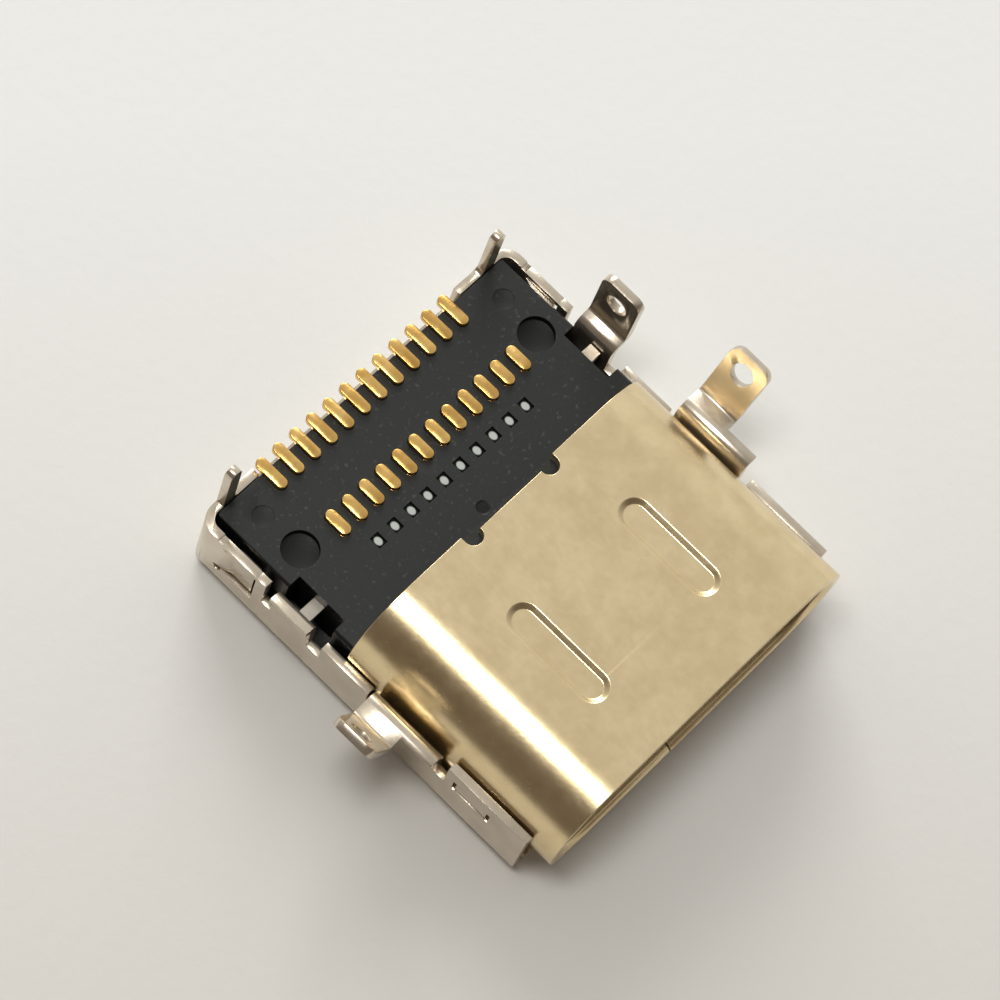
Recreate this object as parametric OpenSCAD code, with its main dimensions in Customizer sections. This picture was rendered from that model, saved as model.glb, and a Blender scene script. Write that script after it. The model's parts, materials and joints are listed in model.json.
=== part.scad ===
// Mid-mount plug socket: a rolled steel tube with a tongue inside, a moulded block behind it that
// carries two rows of soldering tails, and a folded outer sheet with four legs and two posts.
// The part lies with its soldering side up. All sizes are in millimetres.
// X runs across the socket, +Y from the mouth to the tails, and Z = 0 is the underside of the sheet.

/* [Tube] */
// Width of the tube over its round sides
tube_w = 8.94; // [8.6:0.02:9.4]
// Height of the tube over its flats
tube_h = 3.16; // [3.04:0.02:3.4]
// Sheet thickness of the tube
tube_t = 0.30; // [0.2:0.01:0.34]
// Length of the tube from its mouth to its rear edge
tube_len = 5.94; // [5.7:0.02:6.8]
// Bevel inside the mouth
mouth_bevel = 0.10; // [0.04:0.01:0.14]
// Distance of each pressed groove from the middle
groove_x = 1.70; // [1.3:0.05:2.2]
// Width of a pressed groove
groove_w = 0.75; // [0.5:0.05:0.9]
// Length of a pressed groove
groove_len = 2.70; // [2:0.05:3.2]
// Depth of a pressed groove
groove_d = 0.08; // [0.04:0.01:0.12]
// Distance of the grooves' rear ends from the tube's rear edge
groove_back = 1.76; // [1.5:0.02:2]
// Half width of the set-back middle of the rear edge
edge_tab_w = 0.93; // [0.6:0.01:1.1]
// How far the middle of the rear edge is set back
edge_tab_d = 0.12; // [0.06:0.01:0.15]
// Width of the relief notch on either side of it
edge_notch_w = 0.45; // [0.3:0.01:0.6]
// Depth of a relief notch
edge_notch_d = 0.36; // [0.28:0.01:0.38]
// Width of the butt seam along the tube's far side
seam_w = 0.04; // [0.03:0.01:0.08]
// Place of that seam across the tube
seam_x = -0.40; // [-1:0.05:1]

/* [Tongue] */
// Width over the steel plate at the tongue's sides
tongue_w = 6.69; // [6.4:0.01:6.9]
// Thickness of the tongue
tongue_t = 0.70; // [0.66:0.01:0.8]
// Length of the tongue in front of the collar
tongue_len = 4.45; // [4.2:0.01:4.7]
// How far the plate stands out of the plastic at each side of the tongue
plate_proud = 0.10; // [0.05:0.01:0.2]
// Depth of the latch notch in each side of the tongue
latch_d = 0.55; // [0.35:0.01:0.6]
// Length of the latch notch
latch_len = 1.05; // [0.8:0.01:1.3]
// Distance of the latch notch from the tongue's tip
latch_tip = 1.25; // [1:0.01:1.5]
// Thickness of the step at the tongue's root
step_t = 1.36; // [1.2:0.01:1.6]
// Length of the step
step_len = 1.20; // [1:0.01:1.4]
// Bevel along the step's front edges
step_bevel = 0.12; // [0.05:0.01:0.2]
// Bevel round the tongue's tip
tongue_nose = 0.18; // [0.08:0.01:0.25]

/* [Block] */
// Length of the moulded block behind the tube
block_len = 4.00; // [3.9:0.02:4.4]
// Height of the block above the floor sheet
block_h = 1.99; // [1.97:0.01:2.1]
// Running gap between the block's sides and the side walls
block_gap = 0.14; // [0.08:0.01:0.2]
// Chamfer along the block's upper edges
block_chamfer = 0.06; // [0.02:0.01:0.1]
// Length of the collar that closes the tube's rear end
collar_len = 0.45; // [0.4:0.01:0.6]
// Distance of each side notch's inner wall from the block's side
notch_d = 0.33; // [0.2:0.01:0.45]
// Start of the side notches behind the tube
notch_y = 0.55; // [0.4:0.01:0.7]
// Length of the side notches
notch_len = 1.32; // [1.1:0.01:1.4]
// Depth of the side notches
notch_h = 1.45; // [1:0.05:1.6]
// Diameter of the two ejector marks
ejector_dia = 0.85; // [0.6:0.01:0.95]
// Distance of the ejector marks from the middle
ejector_x = 3.60; // [3.4:0.01:3.65]
// Distance of the ejector marks behind the tube
ejector_y = 2.28; // [2.2:0.01:2.5]
// Depth of the ejector marks
ejector_d = 0.20; // [0.05:0.01:0.3]
// Diameter of the faint marks in the rear corners
mark_dia = 0.50; // [0.3:0.01:0.6]
// Depth of the faint marks
mark_d = 0.02; // [0.01:0.01:0.05]
// Distance of the faint marks from the block's sides
mark_side = 0.70; // [0.5:0.01:0.8]
// Distance of the faint marks from the block's rear face
mark_rear = 0.68; // [0.5:0.01:0.8]
// Width of a contact window, across the row
window_w = 0.24; // [0.18:0.01:0.3]
// Length of a contact window
window_len = 0.30; // [0.2:0.01:0.4]
// Distance of the contact windows behind the tube
window_y = 1.31; // [1.1:0.01:1.5]

/* [Contacts] */
// Contacts in each of the two rows
contact_count = 12; // [12:1:12]
// Distance from one contact to the next
pitch = 0.50; // [0.48:0.01:0.52]
// Width of a contact
contact_w = 0.26; // [0.2:0.01:0.28]
// Distance of the contacts' front ends from the tongue's tip
blade_tip = 0.35; // [0.25:0.01:0.5]
// Thickness of the contact strip
contact_t = 0.12; // [0.08:0.01:0.14]
// Sideways shift of the soldering tails, opposite ways in the two rows
tail_shift = 0.125; // [0.1:0.005:0.15]
// Height of the tails' upper face above the block
tail_proud = 0.12; // [0.08:0.01:0.13]
// Thickness of a tail
tail_t = 0.16; // [0.14:0.01:0.18]
// Start of the front row's tails behind the tube
front_tail_y = 1.82; // [1.75:0.01:2]
// Length of the front row's tails
front_tail_len = 0.66; // [0.5:0.01:0.8]
// Length of the rear row's tails
rear_tail_len = 0.84; // [0.75:0.01:0.95]
// How far the rear row's tails overhang the block
tail_over = 0.28; // [0.2:0.01:0.4]
// Clearance around what is moulded in
fit = 0.01; // [0.005:0.005:0.02]

/* [Steel plate] */
// Thickness of the plate inside the tongue
plate_t = 0.15; // [0.1:0.01:0.2]
// Distance of the plate's front edge from the tongue's tip
plate_tip = 0.12; // [0.05:0.01:0.2]
// Distance of the plate's ears behind the tube
ear_y = 1.08; // [0.9:0.01:1.2]
// Width of an ear
ear_w = 0.32; // [0.2:0.01:0.4]
// Gap between an ear and the side wall
ear_gap = 0.02; // [0.01:0.005:0.04]
// Thickness of the grounding pads on the tongue's step
pad_t = 0.12; // [0.08:0.01:0.15]
// Width of the grounding pads
pad_w = 5.60; // [5:0.05:6]

/* [Outer sheet] */
// Thickness of the folded outer sheet
sheet_t = 0.20; // [0.15:0.01:0.22]
// Gap between the tube's sides and the side walls
side_gap = 0.03; // [0.02:0.005:0.06]
// Set-back of the sheet's front edge from the mouth
sheet_setback = 0.59; // [0.4:0.01:0.8]
// Outer radius of the sheet's folded corners
fold_r = 0.45; // [0.4:0.01:0.55]
// Gap between the block's rear face and the rear wall
rear_gap = 0.03; // [0.02:0.005:0.06]
// Height of the side walls along the tube
front_wall_h = 2.06; // [1.9:0.01:2.2]
// Height of the side walls between the legs
mid_wall_h = 1.81; // [1.7:0.01:1.9]
// Height of the side walls beside the block's rear half
rear_wall_h = 2.11; // [2:0.01:2.15]
// Height of the low middle of the rear wall
rear_low_h = 1.30; // [1:0.05:1.6]
// Half width of the low middle of the rear wall
rear_low_w = 3.05; // [3.02:0.01:3.2]
// Width of a relief slot beside a leg
relief_w = 0.26; // [0.15:0.01:0.3]
// Length of the relief in front of a rear leg
leg_relief = 0.36; // [0.3:0.01:0.4]
// Height at which the relief slots end
relief_h = 1.25; // [1.1:0.01:1.35]

/* [Legs] */
// Width of a leg
leg_w = 1.06; // [0.9:0.01:1.1]
// Radius of a leg's upper corners
leg_round = 0.25; // [0.1:0.01:0.35]
// Centre radius of the legs' folds
leg_bend = 0.20; // [0.14:0.01:0.22]
// Start of the rear legs behind the tube
rear_leg_y = 0.87; // [0.82:0.01:0.92]
// Height at which the rear legs step outward
rear_leg_fold = 1.93; // [1.85:0.01:1.98]
// Outward step of the rear legs
rear_leg_step = 0.40; // [0.36:0.01:0.44]
// Length of the rear legs above their step
rear_blade = 1.52; // [1.2:0.01:1.7]
// Diameter of the hole in a rear leg
rear_hole_dia = 0.55; // [0.4:0.01:0.6]
// Distance of that hole from the leg's tip
rear_hole_tip = 0.65; // [0.5:0.01:0.8]
// Rear side of the front legs, in front of the tube's rear edge
front_leg_y = 0.97; // [0.94:0.01:1.05]
// Length of the flange that carries a front leg
flange_len = 1.92; // [1.7:0.01:2]
// Height at which the flange folds outward
flange_fold = 2.01; // [1.9:0.01:2.1]
// How far the wall under the flange stands off
flange_off = 0.10; // [0.06:0.01:0.12]
// Downward slope of the flange
flange_slope = 13; // [8:1:16]
// Flat length of the flange between its folds
flange_flat = 0.30; // [0.2:0.01:0.4]
// Flat length of the flange's front half, which carries no leg
flange_lip = 0.08; // [0.04:0.01:0.3]
// Outward lean of the front legs
leg_lean = 29; // [10:1:40]
// Length of the front legs above their fold
front_blade = 1.38; // [1:0.01:1.5]
// Diameter of the hole in a front leg
front_hole_dia = 0.55; // [0.4:0.01:0.6]
// Distance of that hole from the leg's tip
front_hole_tip = 0.47; // [0.42:0.01:0.8]

/* [Posts] */
// Height of the two rear posts
post_h = 3.78; // [3.4:0.01:4]
// Width of a post
post_w = 0.32; // [0.24:0.01:0.36]
// Distance of the posts from the middle
post_x = 3.95; // [3.8:0.01:4]
// Height of the shoulder that each post stands on
shoulder_h = 2.16; // [2.1:0.01:2.3]

/* [Tabs] */
// How far the locking tabs are pressed into the block
tab_press = 0.16; // [0.12:0.01:0.18]
// Length of a locking tab
tab_len = 0.90; // [0.7:0.01:1]
// Height at which the locking tabs are cut free
tab_foot_h = 0.91; // [0.7:0.01:1]
// Width of the slits in the side walls
slit_w = 0.09; // [0.05:0.01:0.12]
// Diameter of the round relief at a locking tab's root
tab_relief_dia = 0.22; // [0.12:0.01:0.26]
// Distance of a locking tab's free end from the slot in front of it
tab_back = 0.36; // [0.25:0.01:0.45]
// Length of the spring tabs along the tube
spring_len = 0.95; // [0.7:0.01:1.1]
// Height of the spring tabs' slit
spring_h = 1.36; // [1.2:0.01:1.5]
// Height of the short slits at that slit's ends
spring_end_h = 0.40; // [0.2:0.01:0.5]

/* [Hidden] */
FRONT_CONTACTS = [for (i = [1:contact_count]) str("front_contact_", i)];
REAR_CONTACTS = [for (i = [1:contact_count]) str("rear_contact_", i)];
$fn = 48;

// Heights
axis_z = sheet_t + tube_h / 2;
tongue_top = axis_z + tongue_t / 2;
tongue_foot = axis_z - tongue_t / 2;
block_top = sheet_t + block_h;
tail_top = block_top + tail_proud;

// Across
wall_in = tube_w / 2 + side_gap;
wall_out = wall_in + sheet_t;
wall_mid = wall_in + sheet_t / 2;
block_half = wall_in - block_gap;

// Along: Y = 0 is the tube's rear edge until the whole part is centred
rear_in = block_len + rear_gap;
rear_out = rear_in + sheet_t;
corner_start = rear_in - fold_r;
sheet_front = sheet_setback - tube_len;
tongue_tip = -collar_len - tongue_len;
tail_end = block_len + tail_over;
centre_y = (tube_len - max(tail_end, rear_out)) / 2;

// The side walls' stretches from front to rear, each [start, end, height]
leg_start = -front_leg_y;
flange_start = leg_start - flange_len;
front_relief = flange_start - relief_w;
mid_wall_start = leg_start + relief_w / 2;
mid_wall_end = rear_leg_y - leg_relief;
rear_leg_end = rear_leg_y + leg_w;
rear_wall_start = rear_leg_end + relief_w;
WALLS = [
    [sheet_front, front_relief, front_wall_h],
    [front_relief, flange_start, relief_h],
    [flange_start, leg_start, relief_h],
    [leg_start, mid_wall_start, relief_h],
    [mid_wall_start, mid_wall_end, mid_wall_h],
    [mid_wall_end, rear_leg_y, relief_h],
    [rear_leg_y, rear_leg_end, rear_leg_fold],
    [rear_leg_end, rear_wall_start, relief_h],
    [rear_wall_start, corner_start, rear_wall_h]
];

// The locking tab: a window in the wall and the tongue of sheet that is pressed in through it
tab_root = rear_wall_start + tab_back + tab_len;
tab_front = tab_root - tab_len;
TAB_TURN = 40;
tab_bend = tab_press / (2 * (1 - cos(TAB_TURN)));

// Turn between two points along a fold
FOLD_STEP = 9;
far = 2 * tube_w;
// How far a cut runs past the face that it opens
past = 1;

// ---- helpers ----

// Centres the whole part on the origin, front to rear
module placed() {
    translate([0, centre_y, 0]) children();
}

// A section in XZ, drawn out from y0 to y1
module along_y(y0, y1) {
    translate([0, y1, 0]) rotate([90, 0, 0]) linear_extrude(y1 - y0) children();
}

// A section in YZ, drawn out from x0 to x1
module along_x(x0, x1) {
    translate([x0, 0, 0]) rotate([90, 0, 90]) linear_extrude(x1 - x0) children();
}

module both_sides() {
    children();
    mirror([1, 0, 0]) children();
}

module block_at(low, high) {
    translate(low) cube(high - low);
}

// A flat bar with round ends, lying along X
module round_bar(w, h) {
    square([w - h, h], center = true);
    for (s = [-1, 1]) translate([s * (w - h) / 2, 0]) circle(h / 2);
}

// A rectangle on the X axis, centred, whose upper corners have the radius r
module rounded_tip(w, h, r) {
    translate([-w / 2, 0]) square([w, h - r]);
    if (w > 2 * r) translate([r - w / 2, 0]) square([w - 2 * r, h]);
    for (s = [-1, 1]) translate([s * (w / 2 - r), h - r]) circle(r);
}

// Folded sheet seen edge on. It starts at the origin towards +X. Each step is [length, 0] for
// a flat or [centre radius, angle] for a fold, where a positive angle turns to the left.
function heading(steps, i) = i == 0 ? 0 : heading(steps, i - 1) + steps[i - 1][1];

function line_point(steps, i, part) =
    let (
        from = i == 0 ? [0, 0] : line_point(steps, i - 1, 1),
        a = heading(steps, i),
        size = steps[i][0],
        turn = steps[i][1]
    )
    turn == 0
        ? from + size * part * [cos(a), sin(a)]
        : from + sign(turn) * size * [sin(a + turn * part) - sin(a), cos(a) - cos(a + turn * part)];

function sheet_edge(steps, off) = [
    [0, off],
    for (i = [0:len(steps) - 1])
        let (n = max(1, ceil(abs(steps[i][1]) / FOLD_STEP)))
        for (k = [1:n])
            let (a = heading(steps, i) + steps[i][1] * k / n)
            line_point(steps, i, k / n) + off * [-sin(a), cos(a)]
];

function reversed(list) = [for (i = [len(list) - 1:-1:0]) list[i]];

module folded(steps, t) {
    polygon(concat(sheet_edge(steps, t / 2), reversed(sheet_edge(steps, -t / 2))));
}

// The outer sheet's form, moved in by side, rear and foot: an open tray whose folds have the radius r
module tray_form(front, side, rear, foot, top, r) {
    w = wall_out - side;
    back = rear_out - rear;
    intersection() {
        along_y(front, back) union() {
            translate([-w, foot + r]) square([2 * w, top - foot - r]);
            translate([r - w, foot]) square([2 * (w - r), top - foot]);
            for (s = [-1, 1]) translate([s * (w - r), foot + r]) circle(r);
        }
        linear_extrude(top) union() {
            translate([-w, front]) square([2 * w, back - r - front]);
            translate([r - w, front]) square([2 * (w - r), back - front]);
            for (s = [-1, 1]) translate([s * (w - r), back - r]) circle(r);
        }
        along_x(-w, w) union() {
            translate([front, foot]) square([back - r - front, top - foot]);
            translate([front, foot + r]) square([back - front, top - foot - r]);
            translate([back - r, foot + r]) circle(r);
        }
    }
}

// ---- tube ----

// A pressed groove with sloping sides and round ends, its opening at Z = 0
module groove_form() {
    run = 1.5 * groove_d;
    straight = groove_len - groove_w;
    half = [[0, 0], [groove_w / 2, 0], [groove_w / 2 - run, -groove_d], [0, -groove_d]];
    along_y(-straight / 2, straight / 2) union() {
        polygon(half);
        mirror([1, 0]) polygon(half);
    }
    for (s = [-1, 1]) translate([0, s * straight / 2, 0]) rotate_extrude() polygon(half);
}

module grooves(z) {
    for (s = [-1, 1])
        translate([s * groove_x, -groove_back - groove_len / 2, z]) groove_form();
}

// The rear edge of the tube's soldering side: set back in the middle, with a notch on either side
module edge_cuts() {
    translate([0, 0, axis_z]) linear_extrude(tube_h) union() {
        translate([-edge_tab_w, -edge_tab_d]) square([2 * edge_tab_w, 1]);
        for (s = [-1, 1]) translate([s * (edge_tab_w + edge_notch_w / 2), 0]) {
            translate([-edge_notch_w / 2, edge_notch_w / 2 - edge_notch_d]) square([edge_notch_w, 1]);
            translate([0, edge_notch_w / 2 - edge_notch_d]) circle(edge_notch_w / 2);
        }
    }
}

// The widening inside the mouth
module mouth_lead() {
    w = tube_w - tube_h;
    r = tube_h / 2 - tube_t;
    translate([0, -tube_len, axis_z]) {
        along_x(-w / 2, w / 2)
            polygon([[-1, -r - mouth_bevel], [0, -r - mouth_bevel], [mouth_bevel, -r],
                     [mouth_bevel, r], [0, r + mouth_bevel], [-1, r + mouth_bevel]]);
        for (s = [-1, 1]) translate([s * w / 2, mouth_bevel, 0]) rotate([90, 0, 0])
            cylinder(h = mouth_bevel, r1 = r, r2 = r + mouth_bevel);
    }
}

module tube_shell() placed() color("burlywood") difference() {
    union() {
        difference() {
            along_y(-tube_len, 0) translate([0, axis_z]) difference() {
                round_bar(tube_w, tube_h);
                round_bar(tube_w - 2 * tube_t, tube_h - 2 * tube_t);
            }
            grooves(axis_z + tube_h / 2);
        }
        difference() {
            grooves(axis_z + tube_h / 2 - tube_t);
            grooves(axis_z + tube_h / 2);
        }
    }
    mouth_lead();
    edge_cuts();
    block_at([seam_x - seam_w / 2, -tube_len - past, -past], [seam_x + seam_w / 2, past, axis_z]);
}

// ---- contacts ----

function contact_x(i) = (i - (contact_count + 1) / 2) * pitch;

// One contact grown by g on every side, which is also the form of its bed in the plastic.
// row is 1 for the front row of tails, on the tongue's upper face, and -1 for the rear row.
module contact_form(row, i, g = 0) {
    x = contact_x(i);
    tail_x = x + row * tail_shift;
    face = row > 0 ? tongue_top : tongue_foot + contact_t;
    tail_y = row > 0 ? front_tail_y : tail_end - rear_tail_len;
    tail_len = row > 0 ? front_tail_len : rear_tail_len;
    riser_y = tail_y + contact_w / 2;
    tip_y = tongue_tip + blade_tip + contact_w / 2;
    low = face - contact_t - g;
    // blade along the tongue, with a round tip
    translate([x, 0, low]) linear_extrude(contact_t + 2 * g) union() {
        translate([-contact_w / 2 - g, tip_y]) square([contact_w + 2 * g, riser_y + contact_t + g - tip_y]);
        translate([0, tip_y]) circle(contact_w / 2 + g);
    }
    // foot that leads sideways to the riser
    block_at([min(x, tail_x) - contact_w / 2 - g, riser_y - contact_t - g, low],
             [max(x, tail_x) + contact_w / 2 + g, riser_y + contact_t + g, face + g]);
    // riser
    block_at([tail_x - contact_w / 2 - g, riser_y - g, low],
             [tail_x + contact_w / 2 + g, riser_y + contact_t + g, tail_top]);
    // soldering tail with round ends
    translate([tail_x, tail_y + tail_len / 2, tail_top - tail_t - g]) linear_extrude(tail_t + g)
        rotate(90) round_bar(tail_len + 2 * g, contact_w + 2 * g);
}

module contact(row, i) placed() color("gold") contact_form(row, i);

// ---- steel parts of the tongue ----

// Plan of the plate: tongue with a latch notch in each side, and two ears
module plate_plan(g = 0) {
    difference() {
        translate([-tongue_w / 2 - g, tongue_tip + plate_tip - g])
            square([tongue_w + 2 * g, ear_y + ear_w - tongue_tip - plate_tip + 2 * g]);
        latch_notches(latch_d - g, latch_len - 2 * g);
    }
    translate([g - wall_in + ear_gap - 2 * g, ear_y - g])
        square([2 * (wall_in - ear_gap + g), ear_w + 2 * g]);
}

module latch_notches(d, l) {
    for (s = [-1, 1]) translate([s * tongue_w / 2, tongue_tip + latch_tip + latch_len / 2])
        square([2 * d, l], center = true);
}

module plate_form(g = 0) {
    translate([0, 0, axis_z - plate_t / 2 - g]) linear_extrude(plate_t + 2 * g) plate_plan(g);
}

module mid_plate() placed() color("gainsboro") plate_form();

// A thin pad on one face of the step
module pad_form(side, g = 0) {
    y0 = -collar_len - step_len;
    z = axis_z + side * (step_t / 2 - pad_t / 2);
    translate([0, y0 + step_len / 2, z])
        cube([pad_w + 2 * g, step_len - 2 * step_bevel + 2 * g, pad_t + 2 * g], center = true);
}

module ground_pad(side) placed() color("silver") pad_form(side);

// ---- housing ----

module tongue_plastic() {
    half = tongue_t / 2;
    nose = tongue_nose;
    difference() {
        translate([0, 0, axis_z]) along_x(-tongue_w / 2 + plate_proud, tongue_w / 2 - plate_proud)
            polygon([
                [tongue_tip, -half + nose], [tongue_tip + nose, -half], [0, -half],
                [0, half], [tongue_tip + nose, half], [tongue_tip, half - nose]
            ]);
        translate([0, 0, tongue_foot - past]) linear_extrude(tongue_t + 2 * past)
            latch_notches(latch_d + plate_proud, latch_len + 2 * plate_proud);
    }
}

module step() {
    y0 = -collar_len - step_len;
    half = step_t / 2;
    b = step_bevel;
    translate([0, 0, axis_z]) along_x(-tongue_w / 2, tongue_w / 2)
        polygon([[y0, b - half], [y0 + b, -half], [0, -half], [0, half], [y0 + b, half], [y0, half - b]]);
}

module collar() {
    along_y(-collar_len, 0) translate([0, axis_z])
        round_bar(tube_w - 2 * tube_t - 2 * fit, tube_h - 2 * tube_t - 2 * fit);
}

// The block behind the tube: chamfered above, and shaped below to the sheet that it lies in
module block() {
    intersection() {
        along_y(0, block_len) polygon([
            [-block_half, 0], [block_half, 0],
            [block_half, block_top - block_chamfer], [block_half - block_chamfer, block_top],
            [block_chamfer - block_half, block_top], [-block_half, block_top - block_chamfer]
        ]);
        tray_form(-past, sheet_t + block_gap / 2, sheet_t + rear_gap, sheet_t, block_top + past,
                  fold_r - sheet_t);
    }
}

module side_notches() {
    both_sides() block_at([block_half - notch_d, notch_y, block_top - notch_h],
                          [block_half + past, notch_y + notch_len, block_top + past]);
}

module ejector_marks() {
    for (s = [-1, 1]) {
        translate([s * ejector_x, ejector_y, block_top - ejector_d])
            cylinder(h = past, d = ejector_dia);
        translate([s * (block_half - mark_side), block_len - mark_rear, block_top - mark_d])
            cylinder(h = past, d = mark_dia);
    }
}

// Windows down to the upper row of blades, one over each contact but the outer two
module contact_windows() {
    for (i = [2:contact_count - 1])
        block_at([contact_x(i) - window_w / 2, window_y - window_len / 2, tongue_top],
                 [contact_x(i) + window_w / 2, window_y + window_len / 2, block_top + past]);
}

// Room for a locking tab that is pressed into the block's side
module tab_bed() {
    both_sides() block_at([wall_in - tab_press - 2 * fit, tab_front - slit_w, tab_foot_h],
                          [far, tab_root + tab_len, block_top + past]);
}

module housing() placed() color("dimgray") difference() {
    union() {
        block();
        collar();
        step();
        tongue_plastic();
    }
    side_notches();
    ejector_marks();
    contact_windows();
    tab_bed();
    plate_form(fit);
    for (side = [-1, 1]) pad_form(side, fit);
    for (row = [-1, 1], i = [1:contact_count]) contact_form(row, i, fit);
}

// ---- outer sheet ----

// The side walls' upper outline, from the front edge to the rear corner
module wall_outline() {
    for (w = WALLS) translate([w[0], 0]) square([w[1] - w[0], w[2]]);
}

// The rear wall's outline: low in the middle, a shoulder at each corner and a post on it
module rear_outline() {
    translate([-wall_out, 0]) square([2 * wall_out, rear_low_h]);
    for (s = [-1, 1]) {
        translate([s * (wall_out + rear_low_w) / 2, shoulder_h / 2])
            square([wall_out - rear_low_w, shoulder_h], center = true);
        translate([s * post_x, 0]) rounded_tip(post_w, post_h, post_w / 2);
        // gusset on the inner side of the post
        translate([s * (post_x - post_w / 2), shoulder_h]) scale([s, 1])
            difference() {
                translate([-post_w / 2, 0]) square([post_w, post_w / 2]);
                translate([-post_w / 2, post_w / 2]) circle(post_w / 2);
            }
    }
}

module tray() {
    difference() {
        intersection() {
            tray_form(sheet_front, 0, 0, 0, post_h + past, fold_r);
            union() {
                along_x(-far, far) wall_outline();
                along_y(corner_start, rear_out) rear_outline();
            }
        }
        tray_form(sheet_front - past, sheet_t, sheet_t, sheet_t, post_h + 2 * past, fold_r - sheet_t);
        tab_windows();
        spring_slits();
    }
}

// Windows that the locking tabs are cut and pressed from, with a round relief at the root
module tab_windows() {
    block_at([-far, tab_front - slit_w, tab_foot_h - slit_w / 2],
             [far, tab_root, rear_wall_h + past]);
    translate([-far, tab_root, tab_foot_h - slit_w]) rotate([0, 90, 0])
        cylinder(h = 2 * far, d = tab_relief_dia);
}

// The slits that free the spring tabs beside the tube
module spring_slits() {
    y1 = front_relief - relief_w;
    y0 = y1 - spring_len;
    z = spring_h;
    block_at([-far, y0, z - slit_w / 2], [far, y1, z + slit_w / 2]);
    for (y = [y0, y1])
        block_at([-far, y - slit_w / 2, z - slit_w], [far, y + slit_w / 2, z - slit_w + spring_end_h]);
}

module locking_tab() {
    // in plan, from the tab's root forward and inward
    flat = tab_len - 2 * tab_bend * sin(TAB_TURN);
    translate([wall_mid, tab_root, tab_foot_h + slit_w / 2])
        linear_extrude(rear_wall_h - tab_foot_h - slit_w / 2)
            rotate(-90) folded([[tab_bend, -TAB_TURN], [tab_bend, TAB_TURN], [flat, 0]], sheet_t);
}

// Where a folded line ends in XZ when it starts upward at [wall_mid, z]
function line_end(steps, z) = let (p = line_point(steps, len(steps) - 1, 1)) [wall_mid - p.y, z + p.x];

// A folded line that starts upward at the middle of the side wall, drawn out from y0 to y1
module wall_strip(steps, z, y0, y1) {
    along_y(y0, y1) translate([wall_mid, z]) rotate(90) folded(steps, sheet_t);
}

// What a leg loses at its tip and its hole. It starts at root in XZ and leans out from the vertical.
module leg_cuts(root, y, lean, blade, hole_tip, hole_dia) {
    translate([root.x, y, root.y]) rotate([0, lean, 0]) along_x(-1, 1) union() {
        difference() {
            translate([-leg_w, blade - leg_round]) square([2 * leg_w, 2 * leg_w]);
            rounded_tip(leg_w, blade, leg_round);
        }
        translate([0, blade - hole_tip]) circle(d = hole_dia);
    }
}

// The rear leg: an outward step, then straight up to a rounded tip with a hole
STEP_TURN = 75;
step_rise = (rear_leg_step - 2 * leg_bend * (1 - cos(STEP_TURN))) / sin(STEP_TURN);
REAR_LEG = [[leg_bend, -STEP_TURN], [step_rise, 0], [leg_bend, STEP_TURN]];

module rear_leg() {
    difference() {
        wall_strip(concat(REAR_LEG, [[rear_blade + leg_round, 0]]), rear_leg_fold, rear_leg_y, rear_leg_end);
        leg_cuts(line_end(REAR_LEG, rear_leg_fold), (rear_leg_y + rear_leg_end) / 2, 0,
                 rear_blade, rear_hole_tip, rear_hole_dia);
    }
}

// The flange: the wall stands off, folds outward over its top and slopes down a little
OFF_TURN = 20;
off_bend = 2 * leg_bend;
off_flat = (flange_off - 2 * off_bend * (1 - cos(OFF_TURN))) / sin(OFF_TURN);
flange_wall = flange_fold - relief_h - 2 * off_bend * sin(OFF_TURN) - off_flat * cos(OFF_TURN);
FLANGE = [
    [off_bend, -OFF_TURN], [off_flat, 0], [off_bend, OFF_TURN], [flange_wall, 0],
    [leg_bend, -90 - flange_slope]
];
FRONT_LEG = concat(FLANGE, [[flange_flat, 0], [leg_bend, 90 + flange_slope - leg_lean]]);

// The front leg rises from the flange's outer edge over the rear half of its length
module front_leg() {
    leg_front = leg_start - leg_w;
    wall_strip(concat(FLANGE, [[flange_lip, 0]]), relief_h, flange_start, leg_front);
    difference() {
        wall_strip(concat(FRONT_LEG, [[front_blade + leg_round, 0]]), relief_h, leg_front, leg_start);
        leg_cuts(line_end(FRONT_LEG, relief_h), leg_start - leg_w / 2, leg_lean,
                 front_blade, front_hole_tip, front_hole_dia);
    }
}

module cover_shield() placed() color("silver") {
    tray();
    both_sides() {
        locking_tab();
        rear_leg();
        front_leg();
    }
}

tube_shell();
cover_shield();
housing();
mid_plate();
ground_pad(1);  // upper_ground_pad
ground_pad(-1);  // lower_ground_pad
for (i = [1:contact_count]) {
    contact(1, i);
    contact(-1, i);
}
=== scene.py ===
import json
import math

import bmesh
import bpy
from mathutils import Matrix, Vector

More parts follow.
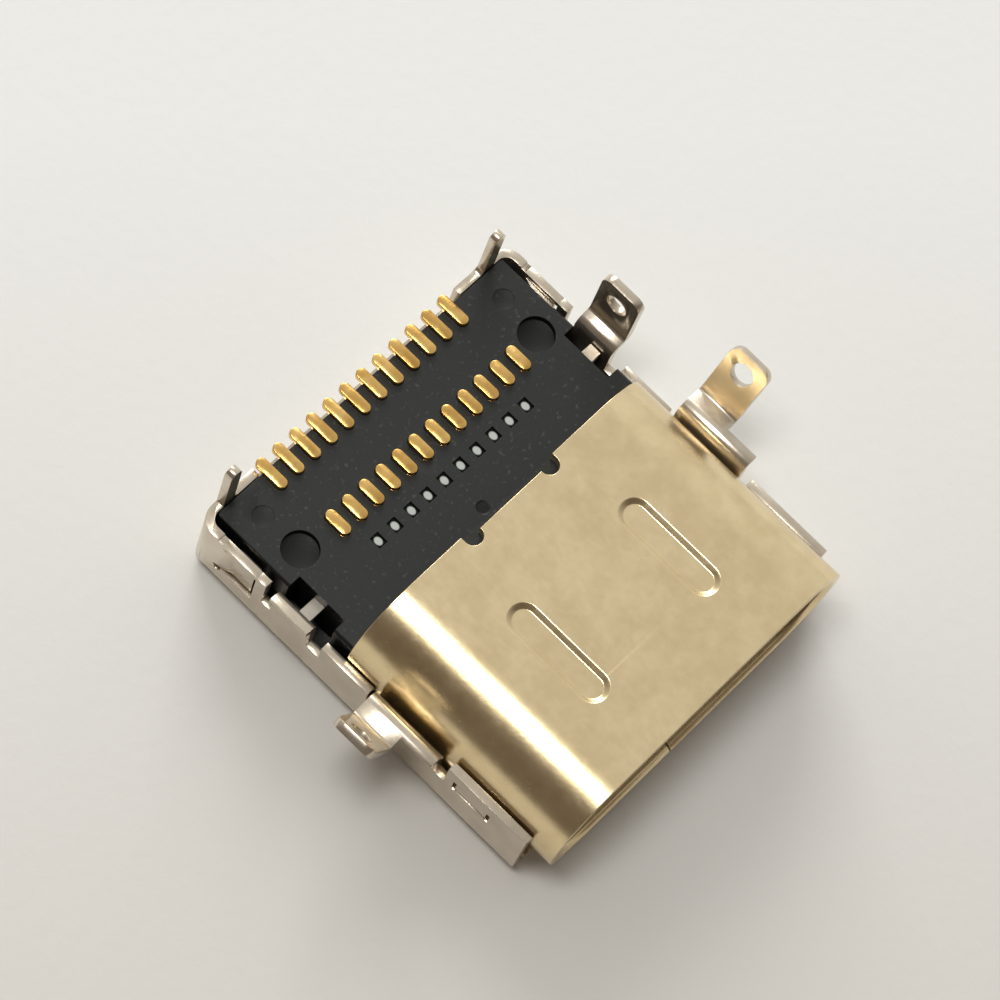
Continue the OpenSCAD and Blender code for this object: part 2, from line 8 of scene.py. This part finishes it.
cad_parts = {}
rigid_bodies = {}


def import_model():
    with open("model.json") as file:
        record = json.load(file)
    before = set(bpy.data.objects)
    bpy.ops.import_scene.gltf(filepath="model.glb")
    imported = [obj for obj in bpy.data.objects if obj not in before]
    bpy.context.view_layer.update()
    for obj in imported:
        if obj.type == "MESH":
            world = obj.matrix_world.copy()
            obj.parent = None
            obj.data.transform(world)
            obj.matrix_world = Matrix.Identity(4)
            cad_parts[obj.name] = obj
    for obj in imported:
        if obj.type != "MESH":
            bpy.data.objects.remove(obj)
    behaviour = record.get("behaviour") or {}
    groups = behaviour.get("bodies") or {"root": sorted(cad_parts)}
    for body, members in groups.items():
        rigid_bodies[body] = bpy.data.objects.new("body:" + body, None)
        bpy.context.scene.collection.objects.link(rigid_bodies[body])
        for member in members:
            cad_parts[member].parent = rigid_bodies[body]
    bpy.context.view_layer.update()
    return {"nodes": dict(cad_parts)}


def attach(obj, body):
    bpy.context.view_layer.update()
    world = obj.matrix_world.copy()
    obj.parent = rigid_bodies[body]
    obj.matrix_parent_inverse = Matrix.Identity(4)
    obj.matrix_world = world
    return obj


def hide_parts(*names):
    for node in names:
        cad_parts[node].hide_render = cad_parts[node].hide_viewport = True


for thing in list(bpy.data.objects):
    bpy.data.objects.remove(thing)
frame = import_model()
MM = 0.001


# ---- Steel plate inside the tongue ----
# A flat blank of stainless sheet, cut with two ears and moulded into the plastic. Only its
# edges show: along the tongue's sides, and where the ears reach the side walls.

def tree_of(material):
    return material.node_tree.nodes, material.node_tree.links


def new_finish(name, colour, metallic, roughness):
    """A material whose shader has these plain values, with its nodes ready for detail."""
    finish = bpy.data.materials.new(name)
    finish.use_nodes = True
    shader = finish.node_tree.nodes["Principled BSDF"]
    shader.inputs["Base Color"].default_value = (*colour, 1)
    shader.inputs["Metallic"].default_value = metallic
    shader.inputs["Roughness"].default_value = roughness
    return finish, shader


def noise_on(finish, scale, detail=3.0, stretch=(1, 1, 1), seed=0.0):
    """Noise in the part's own frame. scale counts its blotches per millimetre."""
    nodes, links = tree_of(finish)
    place = nodes.new("ShaderNodeTexCoord")
    shift = nodes.new("ShaderNodeMapping")
    shift.inputs["Location"].default_value = (seed, seed * 0.7, -seed)
    shift.inputs["Scale"].default_value = tuple(s / MM for s in stretch)
    noise = nodes.new("ShaderNodeTexNoise")
    noise.inputs["Scale"].default_value = scale
    noise.inputs["Detail"].default_value = detail
    links.new(place.outputs["Object"], shift.inputs["Vector"])
    links.new(shift.outputs["Vector"], noise.inputs["Vector"])
    return noise.outputs["Fac"]


def spread(finish, factor, low, high, out_low, out_high):
    """Maps a factor from low..high to out_low..out_high, and stops at those ends."""
    nodes, links = tree_of(finish)
    ramp = nodes.new("ShaderNodeMapRange")
    for name, value in (("From Min", low), ("From Max", high), ("To Min", out_low), ("To Max", out_high)):
        ramp.inputs[name].default_value = value
    links.new(factor, ramp.inputs["Value"])
    return ramp.outputs["Result"]


def blend_colours(finish, factor, first, second):
    nodes, links = tree_of(finish)
    mix = nodes.new("ShaderNodeMix")
    mix.data_type = "RGBA"
    links.new(factor, mix.inputs["Factor"])
    for socket, colour in ((mix.inputs["A"], first), (mix.inputs["B"], second)):
        if isinstance(colour, tuple):
            socket.default_value = (*colour, 1)
        else:
            links.new(colour, socket)
    return mix.outputs["Result"]


def relief_of(finish, shader, height, depth):
    """Bump from a height factor. depth is in millimetres."""
    nodes, links = tree_of(finish)
    bump = nodes.new("ShaderNodeBump")
    bump.inputs["Distance"].default_value = depth * MM
    links.new(height, bump.inputs["Height"])
    links.new(bump.outputs["Normal"], shader.inputs["Normal"])


def rolled_steel(name, pale, dull, roughness, stretch):
    """Thin rolled sheet: faint streaks along the rolling direction, and fine handling marks."""
    finish, shader = new_finish(name, pale, 1.0, roughness)
    links = finish.node_tree.links
    streaks = noise_on(finish, scale=9.0, detail=4.0, stretch=stretch)
    cloud = noise_on(finish, scale=1.6, detail=7.0, seed=3.0)
    marks = noise_on(finish, scale=11.0)
    links.new(blend_colours(finish, spread(finish, cloud, 0.38, 0.62, 0.0, 1.0), pale, dull),
              shader.inputs["Base Color"])
    links.new(spread(finish, streaks, 0.3, 0.7, roughness * 0.93, roughness * 1.10),
              shader.inputs["Roughness"])
    relief_of(finish, shader, marks, depth=0.0014)
    return finish


def finished_copy(node, name, finish, edge, shape=None):
    """The node's form as a piece of its own, with its sharp edges rounded to the radius edge (mm).
    shape changes the form first, where the worn or pressed piece differs from the drawn one."""
    mesh = frame["nodes"][node].data.copy()
    mesh.name = name
    form = bmesh.new()
    form.from_mesh(mesh)
    bmesh.ops.remove_doubles(form, verts=form.verts, dist=1e-7)
    if shape:
        shape(form)
    bmesh.ops.dissolve_limit(form, angle_limit=math.radians(0.5), verts=form.verts, edges=form.edges)
    form.to_mesh(mesh)
    form.free()
    mesh.materials.clear()
    mesh.materials.append(finish)
    for face in mesh.polygons:
        face.use_smooth = True
    piece = bpy.data.objects.new(name, mesh)
    bpy.context.scene.collection.objects.link(piece)
    rounding = piece.modifiers.new("edges", "BEVEL")
    rounding.width = edge * MM
    rounding.segments = 2
    rounding.limit_method = "ANGLE"
    rounding.angle_limit = math.radians(30)
    evening = piece.modifiers.new("even_faces", "WEIGHTED_NORMAL")
    evening.weight = 100
    evening.keep_sharp = False
    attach(piece, "root")
    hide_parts(node)
    return piece


stainless = rolled_steel("bright_stainless", pale=(0.56, 0.52, 0.45), dull=(0.47, 0.43, 0.37),
                         roughness=0.32, stretch=(1, 0.1, 1))
finished_copy("mid_plate", "tongue_plate", stainless, edge=0.015)


# ---- Grounding pads ----
# Two thin stainless strips, let into the faces of the step at the tongue's root, where the
# plug's shell touches them.

for face_name in ("upper", "lower"):
    finished_copy(face_name + "_ground_pad", face_name + "_step_pad", stainless, edge=0.02)


# ---- Contacts ----
# Two rows of twelve, stamped from thin copper alloy and gold plated. Each runs as a blade along
# the tongue, rises through the block and ends in a soldering tail with rounded ends.

def along(finish, axis):
    """The place along one axis of the part, in millimetres."""
    nodes, links = tree_of(finish)
    place = nodes.new("ShaderNodeTexCoord")
    parts = nodes.new("ShaderNodeSeparateXYZ")
    times = nodes.new("ShaderNodeMath")
    times.operation = "MULTIPLY"
    times.inputs[1].default_value = 1 / MM
    links.new(place.outputs["Object"], parts.inputs[0])
    links.new(parts.outputs[axis], times.inputs[0])
    return times.outputs[0]


def reckon(finish, how, first, second=None):
    """One step of arithmetic on two values or sockets."""
    nodes, links = tree_of(finish)
    step = nodes.new("ShaderNodeMath")
    step.operation = how
    for socket, value in zip(step.inputs, (first, second)):
        if isinstance(value, (int, float)):
            socket.default_value = value
        elif value is not None:
            links.new(value, socket)
    return step.outputs[0]


gold, gold_shader = new_finish("gold_plate", (0.84, 0.55, 0.19), 1.0, 0.22)
gold_cloud = noise_on(gold, scale=2.2, detail=2.0, seed=1.0)
gilt = blend_colours(gold, spread(gold, gold_cloud, 0.35, 0.65, 0.0, 1.0),
                     (0.88, 0.58, 0.20), (0.66, 0.39, 0.11))

# The tails are gilt. The blades between them and the tongue are bare nickel. In the windows their colour
# is darkened to near black, but for a small bright spot in the middle of each.
pitch, window_y = 0.5, 2.14
spot_half_width, spot_half_length = 0.075, 0.095
bare_from, bare_to = 1.90, 2.50
off_x = reckon(gold, "SUBTRACT", pitch / 2, reckon(gold, "PINGPONG", along(gold, "X"), pitch / 2))
off_x = reckon(gold, "DIVIDE", off_x, spot_half_width)
off_y = reckon(gold, "DIVIDE", reckon(gold, "SUBTRACT", along(gold, "Y"), window_y), spot_half_length)
from_spot = reckon(gold, "ADD", reckon(gold, "MULTIPLY", off_x, off_x),
                   reckon(gold, "MULTIPLY", off_y, off_y))
dark_around_spot = spread(gold, from_spot, 0.8, 1.5, 0.0, 1.0)
nickel = blend_colours(gold, dark_around_spot, (0.70, 0.74, 0.70), (0.012, 0.014, 0.013))
bare = reckon(gold, "MULTIPLY",
              spread(gold, along(gold, "Y"), bare_from - 0.05, bare_from + 0.05, 0.0, 1.0),
              spread(gold, along(gold, "Y"), bare_to - 0.05, bare_to + 0.05, 1.0, 0.0))
gold.node_tree.links.new(blend_colours(gold, bare, gilt, nickel), gold_shader.inputs["Base Color"])
relief_of(gold, gold_shader, noise_on(gold, scale=9.0, detail=2.0), depth=0.004)

for row in ("front", "rear"):
    count = sum(1 for n in frame["nodes"] if n.startswith(row + "_contact_"))
    for number in range(1, count + 1):
        finished_copy(f"{row}_contact_{number}", f"{row}_tail_{number}", gold, edge=0.045)


# ---- Housing ----
# One black glass-filled moulding: tongue, step, collar and the block behind the tube. Satin, with
# the fine scuffs and dust that such small blocks get in a tray.

plastic, plastic_shader = new_finish("black_moulding", (0.024, 0.0265, 0.025), 0.0, 0.46)
plastic_shader.inputs["Specular IOR Level"].default_value = 0.25
scuffs = noise_on(plastic, scale=9.0, detail=8.0, seed=5.0)
grain = noise_on(plastic, scale=22.0, detail=4.0)
scuffed = blend_colours(plastic, spread(plastic, scuffs, 0.60, 0.80, 0.0, 1.0),
                        (0.024, 0.0265, 0.025), (0.075, 0.078, 0.073))

# The sinks and the other hollows below the block's top are painted darker than the top, as painted shade.
block_top = 2.19
hollow_shade = spread(plastic, along(plastic, "Z"), block_top - 0.04, block_top - 0.004, 1.0, 0.0)
scuffs_and_hollow_shade = blend_colours(plastic, hollow_shade, scuffed, (0.006, 0.007, 0.007))

# A small round pit, probably from the mould's gate, lies just behind the tube. It is a bump, and its
# near-black colour is painted shade.
pit_x, pit_y, pit_radius = -0.10, 1.15, 0.17
pit_over_grain = 6.0
pit_dx = reckon(plastic, "SUBTRACT", along(plastic, "X"), pit_x)
pit_dy = reckon(plastic, "SUBTRACT", along(plastic, "Y"), pit_y)
from_pit = reckon(plastic, "SQRT", reckon(plastic, "ADD", reckon(plastic, "MULTIPLY", pit_dx, pit_dx),
                                          reckon(plastic, "MULTIPLY", pit_dy, pit_dy)))
in_pit = reckon(plastic, "MULTIPLY", spread(plastic, from_pit, pit_radius * 0.75, pit_radius, 1.0, 0.0),
                spread(plastic, along(plastic, "Z"), block_top - 0.19, block_top - 0.09, 0.0, 1.0))
pitted = reckon(plastic, "SUBTRACT", grain, reckon(plastic, "MULTIPLY", in_pit, pit_over_grain))
plastic.node_tree.links.new(blend_colours(plastic, in_pit, scuffs_and_hollow_shade, (0.003, 0.003, 0.003)),
                            plastic_shader.inputs["Base Color"])
plastic.node_tree.links.new(spread(plastic, grain, 0.3, 0.7, 0.40, 0.52), plastic_shader.inputs["Roughness"])
relief_of(plastic, plastic_shader, pitted, depth=0.003)
finished_copy("housing", "black_block", plastic, edge=0.025)


# ---- Tube ----
# The inner shell that the plug enters: strip rolled to a flat-sided tube with a butt seam, nickel
# plated over a warm flash. Two grooves are pressed in along it.

tube_plate = rolled_steel("warm_nickel", pale=(0.86, 0.71, 0.44), dull=(0.78, 0.63, 0.375),
                          roughness=0.25, stretch=(1, 0.5, 1))
finished_copy("tube_shell", "rolled_tube", tube_plate, edge=0.03)


# ---- Outer sheet ----
# A folded cover of thin nickel-plated steel under and around the tube and block. Its walls carry
# the four soldering legs, the two posts and the locking tabs, all bent from the same blank.

cover_plate = rolled_steel("pale_nickel", pale=(0.70, 0.625, 0.505), dull=(0.61, 0.535, 0.43),
                           roughness=0.23, stretch=(1, 0.15, 0.3))
cover_plate.node_tree.nodes["Principled BSDF"].inputs["Metallic"].default_value = 0.86

break_x = -4.86 * MM
leg_inside, leg_front, leg_back, leg_foot = -4.2 * MM, 1.68 * MM, 2.78 * MM, 1.92 * MM


def broken_leg(form):
    """The left rear leg has broken off at its outward fold, so only a short lip of it stands."""
    leg = [f for f in form.faces if all(v.co.x < leg_inside and leg_front < v.co.y < leg_back
                                        and v.co.z > leg_foot for v in f.verts)]
    # dict.fromkeys drops what comes twice and keeps the order, so the cut is the same each time.
    edges_and_corners = [e for f in leg for e in f.edges] + [v for f in leg for v in f.verts]
    around = list(dict.fromkeys(edges_and_corners)) + leg
    bmesh.ops.bisect_plane(form, geom=around, dist=1e-8, plane_co=(break_x, 0, 0),
                           plane_no=(-1, 0, 0), clear_outer=True)
    bmesh.ops.holes_fill(form, edges=[e for e in form.edges if e.is_boundary])


tab_front, tab_root, tab_foot, tab_top = 3.29 * MM, 4.28 * MM, 0.94 * MM, 1.93 * MM
wall_inner, wall_outer, wall_crest, rail_foot = 4.50 * MM, 4.70 * MM, 2.11 * MM, 1.97 * MM
tab_inside, between_faces = 4.20 * MM, 4.52 * MM
tab_spring = 0.45
bite = 0.002 * MM


def railed_tabs(form):
    """The locking tabs have sprung part of the way back. A narrow rail of the wall runs straight on
    over each of them, with a slit between the two, and bites a little into the wall at its ends."""
    for v in form.verts:
        out = abs(v.co.x)
        if not (tab_front + 0.01 * MM < v.co.y < tab_root - 0.01 * MM and out > tab_inside
                and v.co.z > tab_foot):
            continue
        face = wall_outer if out > between_faces else wall_inner
        v.co.x = math.copysign(out + tab_spring * (face - out), v.co.x)
        if v.co.z > wall_crest - bite:
            v.co.z = tab_top
    for s in (-1, 1):
        corners = [form.verts.new((s * x, y, z)) for x in (wall_inner, wall_outer)
                   for y in (tab_front - bite, tab_root + bite) for z in (rail_foot, wall_crest)]
        for order in ((0, 1, 3, 2), (4, 6, 7, 5), (0, 4, 5, 1), (2, 3, 7, 6), (0, 2, 6, 4), (1, 5, 7, 3)):
            form.faces.new([corners[i] for i in order[::s]])


def worn_cover(form):
    broken_leg(form)
    railed_tabs(form)


finished_copy("cover_shield", "folded_cover", cover_plate, edge=0.035, shape=worn_cover)


# ---- Floor, light and camera ----
# A pale matt card that the socket lies on, in a room that is paler on one side, a soft panel above
# it and a second one to the side, and a camera close over it with a long lens.

half = 0.6
floor_mesh = bpy.data.meshes.new("floor")
floor_mesh.from_pydata([(-half, -half, 0), (half, -half, 0), (half, half, 0), (-half, half, 0)],
                       [], [(0, 1, 2, 3)])
floor = bpy.data.objects.new("floor", floor_mesh)
bpy.context.scene.collection.objects.link(floor)
floor_finish, floor_shader = new_finish("pale_card", (0.80, 0.80, 0.78), 0.0, 0.9)
nodes, links = tree_of(floor_finish)
# The card is painted paler towards one side and darker towards the other: a painted fall-off of light and
# shadow.
spot = nodes.new("ShaderNodeTexCoord")
fade = nodes.new("ShaderNodeVectorMath")
fade.operation = "DOT_PRODUCT"
fade.inputs[1].default_value = (0.63 / MM, 0.69 / MM, 0)
links.new(spot.outputs["Object"], fade.inputs[0])
painted_light_falloff = spread(floor_finish, fade.outputs["Value"], -10.0, 10.0, 0.0, 1.0)
links.new(blend_colours(floor_finish, painted_light_falloff, (0.73, 0.715, 0.68), (0.87, 0.885, 0.875)),
          floor_shader.inputs["Base Color"])
relief_of(floor_finish, floor_shader, noise_on(floor_finish, scale=3.0, detail=4.0), depth=0.01)
floor_mesh.materials.append(floor_finish)

world = bpy.data.worlds.new("room")
bpy.context.scene.world = world
world.use_nodes = True
air, wires = world.node_tree.nodes, world.node_tree.links
looking = air.new("ShaderNodeTexCoord")
towards_pale = air.new("ShaderNodeVectorMath")
towards_pale.operation = "DOT_PRODUCT"
towards_pale.inputs[1].default_value = (0.75, 0.50, 0.43)
wires.new(looking.outputs["Generated"], towards_pale.inputs[0])
room_walls = air.new("ShaderNodeValToRGB")
dark_side, pale_side = room_walls.color_ramp.elements
dark_side.position, dark_side.color = 0.0, (0.15, 0.125, 0.105, 1)
pale_side.position, pale_side.color = 1.0, (0.80, 0.79, 0.76, 1)
wires.new(towards_pale.outputs["Value"], room_walls.inputs["Fac"])
wires.new(room_walls.outputs["Color"], air["Background"].inputs["Color"])
air["Background"].inputs["Strength"].default_value = 1.0


def soft_light(name, place, size, power, colour):
    """A flat panel of light that faces the socket."""
    panel = bpy.data.lights.new(name, "AREA")
    panel.shape = "RECTANGLE"
    panel.size, panel.size_y = size
    panel.energy = power
    panel.color = colour
    stand = bpy.data.objects.new(name, panel)
    bpy.context.scene.collection.objects.link(stand)
    stand.location = place
    stand.rotation_euler = (Vector((0, 0, 0.002)) - Vector(place)).to_track_quat("-Z", "Y").to_euler()


soft_light("ceiling_panel", place=(-0.055, 0.045, 0.30), size=(0.07, 0.12), power=0.33,
           colour=(1.0, 0.98, 0.95))
soft_light("side_panel", place=(0.18, 0.20, 0.15), size=(0.16, 0.16), power=0.43,
           colour=(1.0, 0.99, 0.97))

camera_place = Vector((-32.44, -10.97, 84.06)) * MM
azimuth, elevation, roll = (math.radians(a) for a in (-69.87, 66.94, 25.43))
backward = Vector((math.sin(azimuth) * math.cos(elevation), -math.cos(azimuth) * math.cos(elevation),
                   math.sin(elevation)))
side = (-backward).cross(Vector((0, 0, 1))).normalized()
up = side.cross(-backward)
view_side = math.cos(roll) * side + math.sin(roll) * up
view_up = -math.sin(roll) * side + math.cos(roll) * up
camera_data = bpy.data.cameras.new("camera")
camera_data.lens = 152.75
camera_data.clip_start = 0.005
camera = bpy.data.objects.new("camera", camera_data)
bpy.context.scene.collection.objects.link(camera)
turn = Matrix((view_side, view_up, backward)).transposed().to_4x4()
camera.matrix_world = Matrix.Translation(camera_place) @ turn
bpy.context.scene.camera = camera
bpy.context.scene.view_settings.view_transform = "Standard"

bpy.context.view_layer.update()
